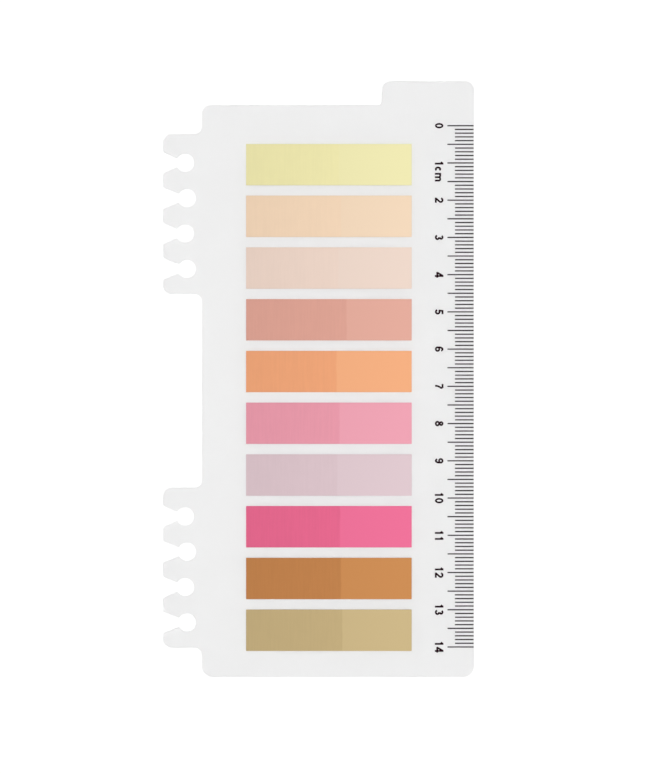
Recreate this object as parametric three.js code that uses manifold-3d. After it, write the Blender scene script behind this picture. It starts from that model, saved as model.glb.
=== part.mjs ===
// Sticky index tabs on a ring-binder ruler page.
// A thin frosted plastic page clips onto binder rings by eight open holes in two lugs on its left edge.
// Ten pads of film tabs are stuck to it in a column. A centimetre scale is printed along its right edge.
// Units are millimetres. +X points to the ruler edge, +Y to the index tab, +Z up from the underside.
// The origin is the centre of the outline, on the underside.
import * as THREE from "three";
import { mergeVertices } from "three/addons/utils/BufferGeometryUtils.js";
import Module from "manifold-3d";

const wasm = await Module();
wasm.setup();

// Page
const pageThickness = 0.8;
const edgeBreak = 0.08; // rounding of the page's top and bottom edges
const bottomCornerRadius = 2.9;
const topCornerRadius = 2.2;

// Index tab at the top right
const indexTabWidth = 24.72;
const indexTabHeight = 6.4;
const indexTabCornerRadius = 2.3;
const indexTabRootRadius = 1.2;

// Pads of film tabs
const padLength = 44.45;
const padWidth = 11.1;
const sheetCount = 20;
const sheetThickness = 0.04;
const padGap = 2.79; // bare page between two pads
const padLeftMargin = 11.85;
const padTopMargin = 10.43;
const padBottomMargin = 6.97;
const padColours = [
  ["lemon", 0xeae4ae],
  ["peach", 0xefd5b8],
  ["blush", 0xe9d5c7],
  ["clay", 0xdea796],
  ["apricot", 0xeeaa7c],
  ["rose", 0xe99eae],
  ["lilac", 0xdbc4ca],
  ["cerise", 0xe66c92],
  ["caramel", 0xc58751],
  ["khaki", 0xc6af81],
];

// Printed scale
const inkThickness = 0.05;
const centimetre = 10;
const lastCentimetre = 14;
const ticksPerCentimetre = 10;
const ticksPerLongTick = 5;
const tickWidth = 0.32;
const shortTick = 5.0;
const longTick = 7.0;
const edgeLineWidth = 0.1; // thin line that the ticks start from, at the ruler edge
const zeroBelowTop = 5.52;
const scaleBottomMargin = 8.03;
const numeralHeight = 2.3;
const numeralStroke = 0.485;
const numeralToTick = 1.1;
const padsToNumerals = 6.25;

// Ring lugs and their holes
const lugDepth = 10.45;
const lugCornerRadius = 2.3;
const lugRootRadius = 2.0;
const ringPitch = 9.5;
const ringsPerLug = 4;
const ringsBetweenLugs = 10; // ring steps from the first hole of one lug to the first of the next
const lugCount = 2;
const firstRingBelowTop = 15.45;
const lugAboveFirstRing = 7.7;
const lugBelowLastRing = 6.75;
const lugBottomMargin = 7.85;
const ringHoleRadius = 2.45;
const ringHoleInset = 4.05; // hole centre to the page's left edge, on the deeper holes
const ringHoleStagger = 0.5; // every other hole sits this much nearer the outer edge
const mouthWidth = 5.8;
const neckWidth = 2.4;
const lipRadius = 0.8;
const neckTipRadius = 0.2;

const arcTolerance = 0.015; // largest gap between a curve and its chords

// What follows from the sizes above
const padThickness = sheetCount * sheetThickness;
const padPitch = padWidth + padGap;
const padCount = padColours.length;
const scaleLength = lastCentimetre * centimetre;
const lugSpacing = ringsBetweenLugs * ringPitch;
const lugHeight = lugAboveFirstRing + (ringsPerLug - 1) * ringPitch + lugBelowLastRing;

const padsReach = padTopMargin + (padCount - 1) * padPitch + padWidth + padBottomMargin;
const scaleReach = zeroBelowTop + scaleLength + scaleBottomMargin;
const lugsReach = firstRingBelowTop - lugAboveFirstRing + (lugCount - 1) * lugSpacing
  + lugHeight + lugBottomMargin;
const bodyHeight = Math.max(padsReach, scaleReach, lugsReach);
const bodyWidth = padLeftMargin + padLength + padsToNumerals + numeralHeight + numeralToTick
  + longTick + edgeBreak;

const right = (lugDepth + bodyWidth) / 2;
const left = right - bodyWidth;
const outer = left - lugDepth;
const bottom = -(bodyHeight + indexTabHeight) / 2;
const top = bottom + bodyHeight;
const indexTabTop = top + indexTabHeight;
const inkRight = right - edgeBreak;
const zeroY = top - zeroBelowTop;

const vec = (x, y) => new THREE.Vector2(x, y);

// Points along an arc from angle a to angle b, close enough for arcTolerance.
function arcPoints(centre, radius, a, b) {
  const step = 2 * Math.acos(1 - Math.min(arcTolerance / radius, 0.5));
  const count = Math.max(2, Math.ceil(Math.abs(b - a) / step));
  const points = [];
  for (let i = 0; i <= count; i++) {
    const angle = a + ((b - a) * i) / count;
    points.push(vec(centre.x + radius * Math.cos(angle), centre.y + radius * Math.sin(angle)));
  }
  return points;
}

// The signed smallest turn from angle a to angle b.
const turn = (a, b) => Math.atan2(Math.sin(b - a), Math.cos(b - a));

// An arc around centre between two points on it, the short way round.
function shortArc(centre, from, to) {
  const a = Math.atan2(from.y - centre.y, from.x - centre.x);
  const b = Math.atan2(to.y - centre.y, to.x - centre.x);
  return arcPoints(centre, from.distanceTo(centre), a, a + turn(a, b));
}

// The corner between two straight edges, rounded to a radius.
function roundCorner(before, corner, after, radius) {
  const inward = before.clone().sub(corner).normalize();
  const onward = after.clone().sub(corner).normalize();
  const half = Math.acos(inward.dot(onward)) / 2;
  const reach = radius / Math.tan(half);
  const start = corner.clone().addScaledVector(inward, reach);
  const end = corner.clone().addScaledVector(onward, reach);
  const middle = inward.clone().add(onward).normalize();
  const centre = corner.clone().addScaledVector(middle, radius / Math.sin(half));
  return shortArc(centre, start, end);
}

// Half of a ring hole's mouth, for side +1 above its centre line or -1 below it: the point where its
// straight edge leaves the outer edge, and the rounded tip between that edge and the round hole.
function mouthSide(centre, side) {
  const lip = vec(outer, centre.y + (side * mouthWidth) / 2);
  const neckReach = Math.sqrt(ringHoleRadius ** 2 - (neckWidth / 2) ** 2);
  const neck = vec(centre.x - neckReach, centre.y + (side * neckWidth) / 2);
  const along = neck.clone().sub(lip).normalize();
  const normal = vec(-along.y, along.x).multiplyScalar(side);
  const start = lip.clone().addScaledVector(normal, neckTipRadius).sub(centre);
  const down = start.dot(along);
  const rim = ringHoleRadius + neckTipRadius;
  const reach = -down - Math.sqrt(down ** 2 - start.lengthSq() + rim ** 2);
  const tip = start.clone().addScaledVector(along, reach).add(centre);
  const onEdge = lip.clone().addScaledVector(along, reach);
  const onHole = tip.clone().sub(centre).multiplyScalar(ringHoleRadius / rim).add(centre);
  return { lip, arc: shortArc(tip, onEdge, onHole), onEdge, onHole };
}

// A ring hole's outline from its upper lip to its lower one, as stops of the page outline.
function ringHole(centre) {
  const upper = mouthSide(centre, 1);
  const lower = mouthSide(centre, -1);
  const a = Math.atan2(upper.onHole.y - centre.y, upper.onHole.x - centre.x);
  const round = arcPoints(centre, ringHoleRadius, a, -a).slice(1, -1);
  return [
    { at: upper.lip, radius: lipRadius },
    { points: [...upper.arc, ...round, ...lower.arc.reverse()] },
    { at: lower.lip, radius: lipRadius },
  ];
}

// One lug with its ring holes, from the page's left edge out and back to it.
function lugStops(index) {
  const firstY = top - firstRingBelowTop - index * lugSpacing;
  const lugTop = firstY + lugAboveFirstRing;
  const lugBottom = lugTop - lugHeight;
  const stops = [
    { at: vec(left, lugTop), radius: lugRootRadius },
    { at: vec(outer, lugTop), radius: lugCornerRadius },
  ];
  for (let ring = 0; ring < ringsPerLug; ring++) {
    const inset = ringHoleInset + (ring % 2 === 0 ? ringHoleStagger : 0);
    stops.push(...ringHole(vec(left - inset, firstY - ring * ringPitch)));
  }
  stops.push({ at: vec(outer, lugBottom), radius: lugCornerRadius });
  stops.push({ at: vec(left, lugBottom), radius: lugRootRadius });
  return stops;
}

// The page outline, anticlockwise from its bottom left corner.
function pageOutline() {
  const indexTabLeft = right - indexTabWidth;
  const stops = [
    { at: vec(left, bottom), radius: bottomCornerRadius },
    { at: vec(right, bottom), radius: bottomCornerRadius },
    { at: vec(right, indexTabTop), radius: indexTabCornerRadius },
    { at: vec(indexTabLeft, indexTabTop), radius: indexTabCornerRadius },
    { at: vec(indexTabLeft, top), radius: indexTabRootRadius },
    { at: vec(left, top), radius: topCornerRadius },
  ];
  for (let index = 0; index < lugCount; index++) stops.push(...lugStops(index));
  return stops.flatMap((stop, i) => {
    if (stop.points) return stop.points;
    const before = stops[(i + stops.length - 1) % stops.length];
    const after = stops[(i + 1) % stops.length];
    const from = before.points ? before.points[before.points.length - 1] : before.at;
    const to = after.points ? after.points[0] : after.at;
    return roundCorner(from, stop.at, to, stop.radius);
  });
}

// A flat solid of a shape, with its underside at height z.
function plate(shape, thickness, z, rounding = 0) {
  const geometry = new THREE.ExtrudeGeometry(shape, {
    depth: thickness - 2 * rounding,
    curveSegments: 6,
    bevelEnabled: rounding > 0,
    bevelThickness: rounding,
    bevelSize: rounding,
    bevelOffset: -rounding,
    bevelSegments: 2,
  });
  geometry.translate(0, 0, z + rounding);
  return geometry;
}

// The outline of a pen stroke of a given width along a run of points, with square ends.
function strokeShape(points, width) {
  const sides = [1, -1].map((side) => points.map((point, i) => {
    const back = (points[i - 1] ? point.clone().sub(points[i - 1]) : points[1].clone().sub(point));
    const ahead = (points[i + 1] ? points[i + 1].clone().sub(point) : back.clone());
    back.normalize();
    ahead.normalize();
    const middle = back.clone().add(ahead).normalize();
    const mitre = (side * width) / 2 / middle.dot(back);
    return vec(point.x - middle.y * mitre, point.y + middle.x * mitre);
  }));
  return new THREE.Shape([...sides[0], ...sides[1].reverse()]);
}

// A closed loop of stroke, such as a nought.
function ringShape(x, y, rx, ry, width) {
  const shape = new THREE.Shape();
  shape.absellipse(x, y, rx + width / 2, ry + width / 2, 0, Math.PI * 2);
  const hole = new THREE.Path();
  hole.absellipse(x, y, rx - width / 2, ry - width / 2, 0, Math.PI * 2);
  shape.holes.push(hole);
  return shape;
}

// A run of points through straight lines and parts of ellipses. A row of two numbers is a point, and a
// row of six is an ellipse's centre, its two radii, and its first and last angle in degrees.
function penPath(...rows) {
  const segments = 10;
  return rows.flatMap((row) => {
    if (row.length === 2) return [vec(...row)];
    const [x, y, rx, ry, from, to] = row;
    return Array.from({ length: segments + 1 }, (_, i) => {
      const angle = THREE.MathUtils.degToRad(from + ((to - from) * i) / segments);
      return vec(x + rx * Math.cos(angle), y + ry * Math.sin(angle));
    });
  });
}

// Glyphs of a plain upright letterform, one unit tall, with half the pen's stroke as pen. Each has its
// strokes: a run of points, or a closed loop of a centre and two radii. Digits are digitWidth wide, and
// a narrower one says from where to where its ink goes.
const pen = numeralStroke / numeralHeight / 2;
const digitAdvance = 0.7;
const digitWidth = 0.64;
const middle = digitWidth / 2;
const bowlHeight = 0.62;
const xHeight = 0.73;
const bowl = { rx: middle - pen, ry: bowlHeight / 2 - pen };
const tall = { rx: middle - pen, ry: 0.5 - pen };
const glyphs = {
  0: { loops: [[middle, 0.5, tall.rx, tall.ry]] },
  1: {
    from: 0.09,
    to: 0.46,
    runs: [
      penPath([0.46 - pen, 0], [0.46 - pen, 1]),
      penPath([0.17, 0.76 - pen / 2], [0.46 - pen, 1 - pen]),
    ],
  },
  2: {
    runs: [
      penPath([middle, 1 - bowlHeight / 2, bowl.rx, bowl.ry, 172, -35], [0.1, pen]),
      penPath([0.02, pen], [digitWidth - 0.02, pen]),
    ],
  },
  3: {
    runs: [
      penPath([0.31, 0.735, 0.28 - pen, 0.265 - pen, 160, -95]),
      penPath([0.31, 0.295, 0.32 - pen, 0.295 - pen, 95, -165]),
    ],
  },
  4: {
    runs: [
      penPath([0, 0.28], [digitWidth + 0.03, 0.28]),
      penPath([0.09, 0.3], [0.47, 0.94]),
      penPath([0.48, 0], [0.48, 1]),
    ],
  },
  5: {
    runs: [
      penPath([digitWidth - 0.05, 1 - pen], [0.1 + pen, 1 - pen], [0.05 + pen, 0.45]),
      penPath([middle - 0.01, 0.33, middle - pen, 0.33 - pen, 140, -165]),
    ],
  },
  6: {
    loops: [[middle, bowlHeight / 2, bowl.rx, bowl.ry]],
    runs: [penPath([middle + 0.01, 0.5, tall.rx, tall.ry, 198, 35])],
  },
  7: {
    runs: [
      penPath([0.04, 1 - pen], [0.52, 1 - pen]),
      penPath([0.53, 0.98 - pen], [0.92, 0, 0.67, 0.9, 130, 178]),
    ],
  },
  8: {
    loops: [
      [middle, 0.735, 0.28 - pen, 0.265 - pen],
      [middle, 0.295, middle - pen, 0.295 - pen],
    ],
  },
  9: {
    loops: [[middle, 1 - bowlHeight / 2, bowl.rx, bowl.ry]],
    runs: [penPath([middle - 0.01, 0.5, tall.rx, tall.ry, 18, -145])],
  },
  c: { advance: 0.74, runs: [penPath([0.29, xHeight / 2, 0.29 - pen, xHeight / 2 - pen, 42, 318])] },
  m: {
    runs: [
      penPath([pen, 0], [pen, xHeight]),
      penPath([0.5, 0], [0.25 + pen / 2, xHeight - 0.25, 0.25 - pen / 2, 0.25 - pen, 0, 180]),
      penPath([1 - pen, 0], [0.75 - pen / 2, xHeight - 0.25, 0.25 - pen / 2, 0.25 - pen, 0, 180]),
    ],
  },
};

// A closed geometry as a manifold-3d solid, and a solid as a geometry again.
function toSolid(geometry) {
  const bare = new THREE.BufferGeometry();
  bare.setAttribute("position", geometry.getAttribute("position"));
  if (geometry.index) bare.setIndex(geometry.index);
  const merged = mergeVertices(bare, 1e-4);
  return new wasm.Manifold(new wasm.Mesh({
    numProp: 3,
    vertProperties: merged.attributes.position.array,
    triVerts: new Uint32Array(merged.index.array),
  }));
}

function toGeometry(solid) {
  const mesh = solid.getMesh();
  const geometry = new THREE.BufferGeometry();
  geometry.setAttribute("position", new THREE.BufferAttribute(mesh.vertProperties, 3));
  geometry.setIndex(new THREE.BufferAttribute(mesh.triVerts, 1));
  const faceted = geometry.toNonIndexed();
  faceted.computeVertexNormals();
  return faceted;
}

// One printed character as a thin flat solid, lying on the page's top face.
function glyphGeometry({ loops = [], runs = [] }) {
  const stroke = numeralStroke / numeralHeight;
  const shapes = [
    ...loops.map(([x, y, rx, ry]) => ringShape(x, y, rx, ry, stroke)),
    ...runs.map((points) => strokeShape(points, stroke)),
  ];
  const solids = shapes.map((shape) => {
    const flat = plate(shape, inkThickness, pageThickness);
    flat.scale(numeralHeight, numeralHeight, 1);
    return toSolid(flat);
  });
  return toGeometry(solids.reduce((whole, solid) => whole.add(solid)));
}

// The tick marks, joined by the thin line at the ruler edge that they all start from.
function ticksShape() {
  const inner = inkRight - edgeLineWidth;
  const tickSpacing = centimetre / ticksPerCentimetre;
  const tickTotal = lastCentimetre * ticksPerCentimetre;
  const half = tickWidth / 2;
  const points = [vec(inkRight, zeroY - scaleLength - half), vec(inkRight, zeroY + half)];
  for (let i = 0; i <= tickTotal; i++) {
    const y = zeroY - i * tickSpacing;
    const tip = inkRight - (i % ticksPerLongTick === 0 ? longTick : shortTick);
    if (i > 0) points.push(vec(inner, y + half));
    points.push(vec(tip, y + half), vec(tip, y - half));
    if (i < tickTotal) points.push(vec(inner, y - half));
  }
  return new THREE.Shape(points);
}

const frosted = new THREE.MeshStandardMaterial({ color: 0xefefef, roughness: 0.5, metalness: 0 });
const ink = new THREE.MeshStandardMaterial({ color: 0x2a2226, roughness: 0.6, metalness: 0 });

const part = new THREE.Group();

function addMesh(name, geometry, material) {
  const mesh = new THREE.Mesh(geometry, material);
  mesh.name = name;
  part.add(mesh);
  return mesh;
}

// Page with its index tab, lugs and ring holes, all one sheet
const outline = new THREE.Shape(pageOutline());
addMesh("ruler_page", plate(outline, pageThickness, 0, edgeBreak), frosted);

// Pads of tabs, from the top of the page down
padColours.forEach(([name, color], i) => {
  const film = new THREE.MeshStandardMaterial({ color, roughness: 0.35, metalness: 0 });
  const pad = addMesh(
    `tab_pad_${String(i + 1).padStart(2, "0")}_${name}`,
    new THREE.BoxGeometry(padLength, padWidth, padThickness),
    film,
  );
  pad.position.set(
    left + padLeftMargin + padLength / 2,
    top - padTopMargin - padWidth / 2 - i * padPitch,
    pageThickness + padThickness / 2,
  );
});

// Printed scale
addMesh("scale_ticks", plate(ticksShape(), inkThickness, pageThickness), ink);

// Characters of the scale read down the page, their ink centred on the ticks, with the unit after the 1
const baselineX = inkRight - longTick - numeralToTick - numeralHeight;

function addCharacter(name, character, y) {
  const mesh = addMesh(name, glyphGeometry(glyphs[character]), ink);
  mesh.rotation.z = -Math.PI / 2;
  mesh.position.set(baselineX, y, 0);
}

for (let cm = 0; cm <= lastCentimetre; cm++) {
  const digits = [...String(cm)];
  const advance = digitAdvance * numeralHeight;
  const { from = 0 } = glyphs[digits[0]];
  const { to = digitWidth } = glyphs[digits[digits.length - 1]];
  const inkLength = (digits.length - 1) * advance + (to - from) * numeralHeight;
  const start = zeroY - cm * centimetre + inkLength / 2 + from * numeralHeight;
  digits.forEach((digit, i) => {
    const place = digits.length > 1 ? `_${i === 0 ? "tens" : "units"}` : "";
    addCharacter(`numeral_${cm}${place}`, digit, start - i * advance);
  });
  if (cm === 1) {
    const unitStart = start - advance;
    addCharacter("unit_letter_c", "c", unitStart);
    addCharacter("unit_letter_m", "m", unitStart - glyphs.c.advance * numeralHeight);
  }
}

export default part;
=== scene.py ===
"""Sticky index tabs on a frosted ring-binder ruler page, seen from straight above on white.

Lengths are in metres and colours are written as they look on screen, from 0 to 255.
+X points to the ruler edge, +Y to the index tab, +Z up from the page's underside.
"""

from random import Random

import bmesh
import bpy
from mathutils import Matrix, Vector


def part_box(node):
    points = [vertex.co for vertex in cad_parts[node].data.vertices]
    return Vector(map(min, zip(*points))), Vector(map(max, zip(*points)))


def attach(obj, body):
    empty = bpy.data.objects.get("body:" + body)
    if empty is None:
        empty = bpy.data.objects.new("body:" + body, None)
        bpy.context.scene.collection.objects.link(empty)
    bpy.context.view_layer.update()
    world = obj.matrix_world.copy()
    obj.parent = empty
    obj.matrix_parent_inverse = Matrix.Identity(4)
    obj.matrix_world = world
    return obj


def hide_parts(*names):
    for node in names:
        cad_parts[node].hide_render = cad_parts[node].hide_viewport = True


MM = 0.001

# Camera: the photograph's frame is 645 x 774 pixels, at 3.7233 pixels to the millimetre
FRAME_HEIGHT_PX = 774
PX_PER_MM = 3.7233
VIEW_CENTRE = Vector((1.08 * MM, -2.12 * MM, 0.8 * MM))
LENS_MM = 180
SENSOR_MM = 36

# Pads, from the top one down: the films' colour where they are stuck together, the length of that part
# in millimetres, and how much the air between their loose ends lightens them
PADS = {
    "tab_pad_01_lemon": ((233, 226, 170), 25.0, 0.15),
    "tab_pad_02_peach": ((237, 209, 180), 25.5, 0.13),
    "tab_pad_03_blush": ((231, 208, 194), 24.8, 0.13),
    "tab_pad_04_clay": ((216, 159, 144), 27.0, 0.21),
    "tab_pad_05_apricot": ((233, 161, 117), 24.3, 0.24),
    "tab_pad_06_rose": ((227, 150, 166), 25.1, 0.23),
    "tab_pad_07_lilac": ((214, 191, 197), 24.5, 0.16),
    "tab_pad_08_cerise": ((224, 101, 138), 25.2, 0.27),
    "tab_pad_09_caramel": ((186, 125, 73), 25.5, 0.29),
    "tab_pad_10_khaki": ((190, 168, 123), 25.8, 0.24),
}
SHEETS = 20
FILM_SHARE = 0.86  # of a sheet's height, with the glue line in the rest
LENGTH_STEPS = 22
SHEET_SHIFT = 0.03 * MM
GLUE_LINE_DEPTH = 0.025 * MM
LOOSE_LIFT = 0.15 * MM
LIFT_AT_GLUE = 0.25  # share of the lift that comes at once past the glued part
ADHESIVE = 0.01 * MM  # under the lowest film
STREAK_DEPTH = 0.08  # times a pad's airiness

# Print
TICKS = 141
TICKS_PER_LONG = 5
TICK_STEP = 1.0 * MM
TICK_WIDTH = 0.32 * MM
SHORT_TICK = 5.0 * MM
TICK_WIDTH_PLAY = 0.04
TICK_END_PLAY = 0.03 * MM

# Floor and light: an even white surround and one large soft lamp, together at a plain level
FLOOR_HALF = 1.5
FLOOR_DROP = 0.02 * MM
SURROUND_LIGHT = 0.2
FLOOR_LIGHT = 0.8
FLOOR_GLOW = 0.86
FLOOR_GREY = 0.2
SOFTBOX_WATTS = 27.7
SOFTBOX_SIZE = 0.9
SOFTBOX_PLACE = (-0.03, 0.0, 1.8)

INK_COLOURS = (38, 13, 23), (26, 8, 15)


def linear(colour):
    """A colour as written on screen, in the renderer's linear values with alpha."""
    parts = [c / 255 for c in colour]
    parts = [p / 12.92 if p <= 0.04045 else ((p + 0.055) / 1.055) ** 2.4 for p in parts]
    return (*parts, 1.0)


class Nodes:
    """Short calls for building a material's or the world's nodes."""

    def __init__(self, owner):
        owner.use_nodes = True
        self.tree = owner.node_tree
        self.tree.nodes.clear()

    def add(self, kind, settings=None, **inputs):
        node = self.tree.nodes.new(kind)
        for key, value in (settings or {}).items():
            setattr(node, key, value)
        for key, value in inputs.items():
            socket = node.inputs[int(key[1:]) if key[1:].isdigit() else key.replace("_", " ")]
            if isinstance(value, bpy.types.NodeSocket):
                self.tree.links.new(value, socket)
            else:
                socket.default_value = value
        return node

    def math(self, operation, a, b=0.0, clamp=False):
        node = self.add("ShaderNodeMath", {"operation": operation, "use_clamp": clamp}, i0=a, i1=b)
        return node.outputs[0]

    def ramp(self, value, low, high, to_low=0.0, to_high=1.0, kind="SMOOTHSTEP"):
        node = self.add(
            "ShaderNodeMapRange",
            {"interpolation_type": kind},
            Value=value,
            From_Min=low,
            From_Max=high,
            To_Min=to_low,
            To_Max=to_high,
        )
        return node.outputs["Result"]

    def mix_colour(self, factor, a, b):
        node = self.add("ShaderNodeMix", {"data_type": "RGBA"}, i0=factor, i6=a, i7=b)
        return node.outputs[2]

    def noise(self, vector, scale, detail=2.0, stretch=(1, 1, 1)):
        mapped = self.add("ShaderNodeMapping", Vector=vector, Scale=stretch).outputs[0]
        node = self.add("ShaderNodeTexNoise", Vector=mapped, Scale=scale, Detail=detail)
        return node.outputs["Fac"]


# Materials


def page_material():
    """Frosted sheet: pale, a little translucent, with a fine matt grain and a painted glow of light on its
    cut edge.
    """
    material = bpy.data.materials.new("frosted_sheet")
    n = Nodes(material)
    coords = n.add("ShaderNodeTexCoord").outputs["Object"]
    normal = n.add("ShaderNodeNewGeometry").outputs["True Normal"]
    up = n.add("ShaderNodeSeparateXYZ", Vector=normal).outputs["Z"]
    # painted light: faces turned away from straight up, the cut edge and its rounding, are painted paler as
    # a glow where light comes in at the edge
    edge = n.ramp(n.math("ABSOLUTE", up), 0.98, 0.3)
    cloud = n.noise(coords, 140.0, 3.0)
    face = n.mix_colour(cloud, linear((236, 236, 236)), linear((238, 238, 238)))
    colour = n.mix_colour(edge, face, linear((246, 247, 248)))
    grain = n.noise(coords, 9000.0, 2.0)
    bump = n.add("ShaderNodeBump", Strength=0.12, Distance=0.02 * MM, Height=grain)
    roughness = n.ramp(n.noise(coords, 2500.0), 0.3, 0.7, 0.46, 0.54)
    shader = n.add(
        "ShaderNodeBsdfPrincipled",
        Base_Color=colour,
        Roughness=roughness,
        IOR=1.49,
        Transmission_Weight=0.6,
        Normal=bump.outputs[0],
    )
    n.add("ShaderNodeOutputMaterial", Surface=shader.outputs[0])
    return material


def ink_material():
    """Printed ink: near black, slightly uneven where it sits on the grain."""
    material = bpy.data.materials.new("printed_ink")
    n = Nodes(material)
    coords = n.add("ShaderNodeTexCoord").outputs["Object"]
    density = n.noise(coords, 3500.0, 3.0)
    colour = n.mix_colour(density, *map(linear, INK_COLOURS))
    bump = n.add("ShaderNodeBump", Strength=0.15, Distance=0.01 * MM, Height=density)
    shader = n.add(
        "ShaderNodeBsdfPrincipled",
        Base_Color=colour,
        Roughness=0.7,
        Specular_IOR_Level=0.1,
        Normal=bump.outputs[0],
    )
    n.add("ShaderNodeOutputMaterial", Surface=shader.outputs[0])
    return material


def film_material(name, colour, airy, start, bonded_end, end, seed):
    """A pad's film: deeper and finely streaked where the sheets are stuck, lighter where air is between."""
    material = bpy.data.materials.new(name)
    n = Nodes(material)
    bonded = linear(colour)
    loose = [c * (1 + airy * (1 - c) ** 0.5) for c in bonded[:3]]
    coords = n.add("ShaderNodeTexCoord").outputs["Object"]
    shifted = n.add("ShaderNodeMapping", Vector=coords, Location=(0.31 * seed, 0.17 * seed, 0)).outputs[0]
    x = n.add("ShaderNodeSeparateXYZ", Vector=coords).outputs["X"]

    # the adhesive's edge wavers a little across the pad
    waver = n.math("MULTIPLY", n.math("SUBTRACT", n.noise(shifted, 260.0), 0.5), 0.5 * MM)
    across = n.math("ADD", x, waver)
    is_loose = n.ramp(across, bonded_end - 0.2 * MM, bonded_end + 0.2 * MM)

    # fine streaks down the pad, and soft patches, where the adhesive holds the films together
    streaks = n.noise(shifted, 1.0, 2.0, stretch=(2400, 110, 400))
    patches = n.noise(shifted, 320.0, 2.0)
    streak_tone = n.ramp(streaks, 0.25, 0.75, 1 - STREAK_DEPTH * airy, 1 + STREAK_DEPTH * airy * 0.7)
    patch_tone = n.ramp(patches, 0.3, 0.7, 0.993, 1.006)
    bonded_tone = n.math("MULTIPLY", streak_tone, patch_tone)
    # painted light and shade along the pad: the stuck part is painted darker at its left end and lighter
    # towards the glue's edge, the loose part darker at the glue's edge and lighter towards its free end
    painted_shading_left = n.ramp(x, start, bonded_end, 0.953, 1.027, "LINEAR")
    painted_shading_right = n.ramp(x, bonded_end, end, 0.962, 1.013, "LINEAR")
    left_colour = n.add(
        "ShaderNodeVectorMath",
        {"operation": "SCALE"},
        i0=bonded[:3],
        Scale=n.math("MULTIPLY", bonded_tone, painted_shading_left),
    ).outputs[0]
    right_colour = n.add(
        "ShaderNodeVectorMath", {"operation": "SCALE"}, i0=loose, Scale=painted_shading_right
    ).outputs[0]
    tone = n.mix_colour(is_loose, left_colour, right_colour)

    relief = n.mix_colour(is_loose, streaks, n.noise(shifted, 60.0))
    bump = n.add("ShaderNodeBump", Strength=0.1, Distance=0.02 * MM, Height=relief)
    roughness = n.ramp(is_loose, 0.0, 1.0, 0.42, 0.34)
    shader = n.add(
        "ShaderNodeBsdfPrincipled",
        Base_Color=tone,
        Roughness=roughness,
        IOR=1.5,
        Specular_IOR_Level=0.2,
        Normal=bump.outputs[0],
    )
    n.add("ShaderNodeOutputMaterial", Surface=shader.outputs[0])
    return material


# Pieces


def new_piece(name, bm, material, slot, *nodes):
    """A mesh object that rides with the page and stands for the given solids."""
    mesh = bpy.data.meshes.new(name)
    bmesh.ops.recalc_face_normals(bm, faces=bm.faces)
    bm.to_mesh(mesh)
    bm.free()
    mesh.materials.append(material)
    piece = bpy.data.objects.new(name, mesh)
    bpy.context.scene.collection.objects.link(piece)
    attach(piece, "root")
    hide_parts(*nodes)
    return piece


def film_stack(node, colour, bonded_length, airy, seed):
    """A pad as its films: thin sheets with a glue line between each two, loose at the right end."""
    rng = Random(seed)
    lo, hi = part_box(node)
    bonded_end = lo.x + bonded_length * MM
    sheet = (hi.z - lo.z) / SHEETS
    film = sheet * FILM_SHARE
    bm = bmesh.new()

    def lift(x, level):
        """How far the loose end stands up at x, for a height from 0 at the page to 1 at the top."""
        free = max(0.0, (x - bonded_end) / (hi.x - bonded_end))
        at_once = min(1.0, free * 20)
        share = LIFT_AT_GLUE * at_once + (1 - LIFT_AT_GLUE) * free**1.6
        return LOOSE_LIFT * level * share

    def ring(z, inset, shift):
        """One turn of points round the pad: along the near edge, then back along the far one."""
        level = (z - lo.z) / (hi.z - lo.z)
        margin = inset + SHEET_SHIFT
        x0 = lo.x + margin + shift.x
        x1 = hi.x - margin + shift.x
        y0 = lo.y + margin + shift.y
        y1 = hi.y - margin + shift.y
        xs = [x0 + (x1 - x0) * i / LENGTH_STEPS for i in range(LENGTH_STEPS + 1)]
        near = [bm.verts.new((x, y0, z + lift(x, level))) for x in xs]
        far = [bm.verts.new((x, y1, z + lift(x, level))) for x in xs]
        return near + far[::-1]

    rings = []
    for i in range(SHEETS):
        shift = Vector((rng.uniform(-1, 1), rng.uniform(-1, 1))) * SHEET_SHIFT
        bottom = lo.z + i * sheet
        if i > 0:
            rings.append(ring(bottom - (sheet - film) / 2, GLUE_LINE_DEPTH, shift))
        rings.append(ring(max(bottom, lo.z + ADHESIVE), 0.0, shift))
        rings.append(ring(bottom + film, 0.0, shift))
    count = len(rings[0])
    for lower, upper in zip(rings, rings[1:]):
        for i in range(count):
            j = (i + 1) % count
            bm.faces.new((lower[i], lower[j], upper[j], upper[i]))
    for cap in (rings[0], rings[-1]):
        for i in range(LENGTH_STEPS):
            bm.faces.new((cap[i], cap[i + 1], cap[count - 2 - i], cap[count - 1 - i]))
    name = node.replace("tab_pad", "film_pad")
    material = film_material(name, colour, airy, lo.x, bonded_end, hi.x, seed)
    slot = "film_" + node.split("_")[-1]
    return new_piece(name, bm, material, slot, node)


def tick_marks(material):
    """The ticks of the scale, each by itself, from the ruler edge inwards."""
    rng = Random(7)
    lo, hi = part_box("scale_ticks")
    bm = bmesh.new()
    for i in range(TICKS):
        y = hi.y - TICK_WIDTH / 2 - i * TICK_STEP
        length = hi.x - lo.x if i % TICKS_PER_LONG == 0 else SHORT_TICK
        half = TICK_WIDTH / 2 * (1 + rng.uniform(-TICK_WIDTH_PLAY, TICK_WIDTH_PLAY))
        tip = hi.x - length + rng.uniform(-TICK_END_PLAY, TICK_END_PLAY)
        outline = [(hi.x, y - half), (hi.x, y + half), (tip, y + half), (tip, y - half)]
        bottom = [bm.verts.new((px, py, lo.z)) for px, py in outline]
        top = [bm.verts.new((px, py, hi.z)) for px, py in outline]
        bm.faces.new(bottom)
        bm.faces.new(top)
        for j in range(4):
            k = (j + 1) % 4
            bm.faces.new((bottom[j], bottom[k], top[k], top[j]))
    return new_piece("scale_marks", bm, material, "ink", "scale_ticks")


# Surroundings


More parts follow.
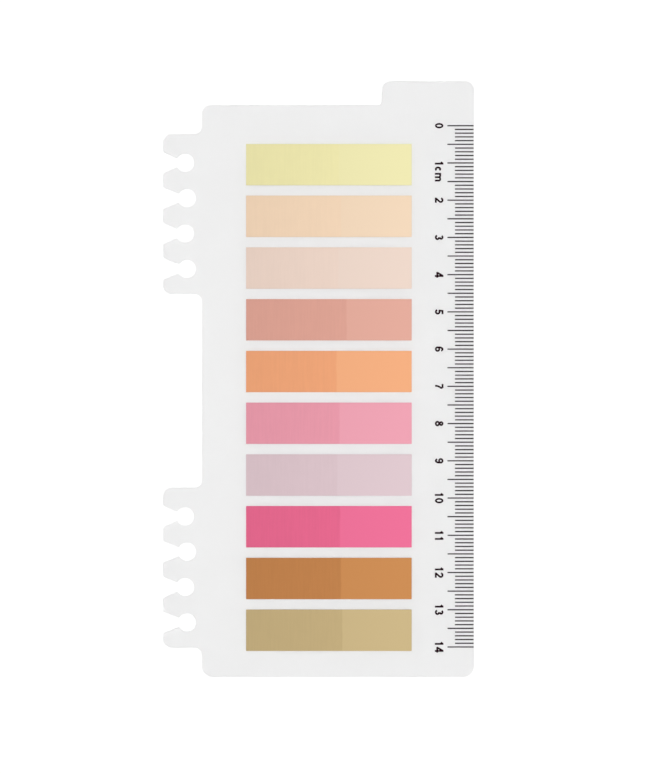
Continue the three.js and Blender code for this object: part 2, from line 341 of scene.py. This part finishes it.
def camera():
    """Straight above the page, far off with a long lens, with the index tab at the top."""
    data = bpy.data.cameras.new("camera")
    data.lens = LENS_MM
    data.sensor_width = SENSOR_MM
    view_height = FRAME_HEIGHT_PX / PX_PER_MM * MM
    distance = view_height * LENS_MM / SENSOR_MM
    data.clip_start = distance * 0.1
    data.clip_end = distance * 10
    cam = bpy.data.objects.new("camera", data)
    cam.location = VIEW_CENTRE + Vector((0, 0, distance))
    bpy.context.scene.collection.objects.link(cam)
    bpy.context.scene.camera = cam


def seen_directly(n):
    """1 where a ray comes from the camera, a reflection or through a clear body, 0 where it lights."""
    path = n.add("ShaderNodeLightPath").outputs
    seen = n.math("MAXIMUM", path["Is Camera Ray"], path["Is Glossy Ray"])
    return n.math("MAXIMUM", seen, path["Is Transmission Ray"])


def floor():
    """White table top that lights what lies on it, keeps a faint shadow, and is clear from below."""
    bm = bmesh.new()
    bmesh.ops.create_grid(bm, x_segments=1, y_segments=1, size=FLOOR_HALF)
    mesh = bpy.data.meshes.new("floor")
    bm.to_mesh(mesh)
    bm.free()
    plane = bpy.data.objects.new("floor", mesh)
    plane.location.z = -FLOOR_DROP
    bpy.context.scene.collection.objects.link(plane)
    material = bpy.data.materials.new("floor_white")
    n = Nodes(material)
    lit = n.add("ShaderNodeEmission", Color=(1, 1, 1, 1), Strength=FLOOR_LIGHT)
    glow = n.add("ShaderNodeEmission", Color=(1, 1, 1, 1), Strength=FLOOR_GLOW)
    soft = n.add("ShaderNodeBsdfDiffuse", Color=(FLOOR_GREY, FLOOR_GREY, FLOOR_GREY, 1))
    white = n.add("ShaderNodeAddShader", i0=glow.outputs[0], i1=soft.outputs[0])
    front = n.add("ShaderNodeMixShader", Fac=seen_directly(n), i1=lit.outputs[0], i2=white.outputs[0])
    clear = n.add("ShaderNodeBsdfTransparent")
    back = n.add("ShaderNodeNewGeometry").outputs["Backfacing"]
    both = n.add("ShaderNodeMixShader", Fac=back, i1=front.outputs[0], i2=clear.outputs[0])
    n.add("ShaderNodeOutputMaterial", Surface=both.outputs[0])
    material.cycles.emission_sampling = "NONE"
    mesh.materials.append(material)


def lights():
    """An even white surround, and one large soft lamp straight above the page."""
    scene = bpy.context.scene
    world = bpy.data.worlds.new("surround")
    scene.world = world
    n = Nodes(world)
    strength = n.ramp(seen_directly(n), 0.0, 1.0, SURROUND_LIGHT, 1.0)
    background = n.add("ShaderNodeBackground", Color=(1, 1, 1, 1), Strength=strength)
    n.add("ShaderNodeOutputWorld", Surface=background.outputs[0])
    lamp = bpy.data.lights.new("softbox", "AREA")
    lamp.shape = "DISK"
    lamp.size = SOFTBOX_SIZE
    lamp.energy = SOFTBOX_WATTS
    holder = bpy.data.objects.new("softbox", lamp)
    holder.visible_glossy = False
    holder.location = SOFTBOX_PLACE
    holder.rotation_euler = (-holder.location).to_track_quat("-Z", "Y").to_euler()
    scene.collection.objects.link(holder)
    scene.view_settings.view_transform = "Standard"


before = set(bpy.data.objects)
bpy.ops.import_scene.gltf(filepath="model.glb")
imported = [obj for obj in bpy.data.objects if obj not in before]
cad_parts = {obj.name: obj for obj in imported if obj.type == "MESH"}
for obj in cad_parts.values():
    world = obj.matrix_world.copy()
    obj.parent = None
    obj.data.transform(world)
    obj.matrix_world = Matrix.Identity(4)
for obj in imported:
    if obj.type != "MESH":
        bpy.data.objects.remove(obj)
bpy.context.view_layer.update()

camera()
floor()
lights()

page = page_material()
ink = ink_material()
for node_name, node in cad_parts.items():
    if node_name in PADS:
        continue
    material = page if node_name == "ruler_page" else ink
    node.data.materials.clear()
    node.data.materials.append(material)
for number, (pad, look) in enumerate(PADS.items(), 1):
    film_stack(pad, *look, number)
tick_marks(ink)
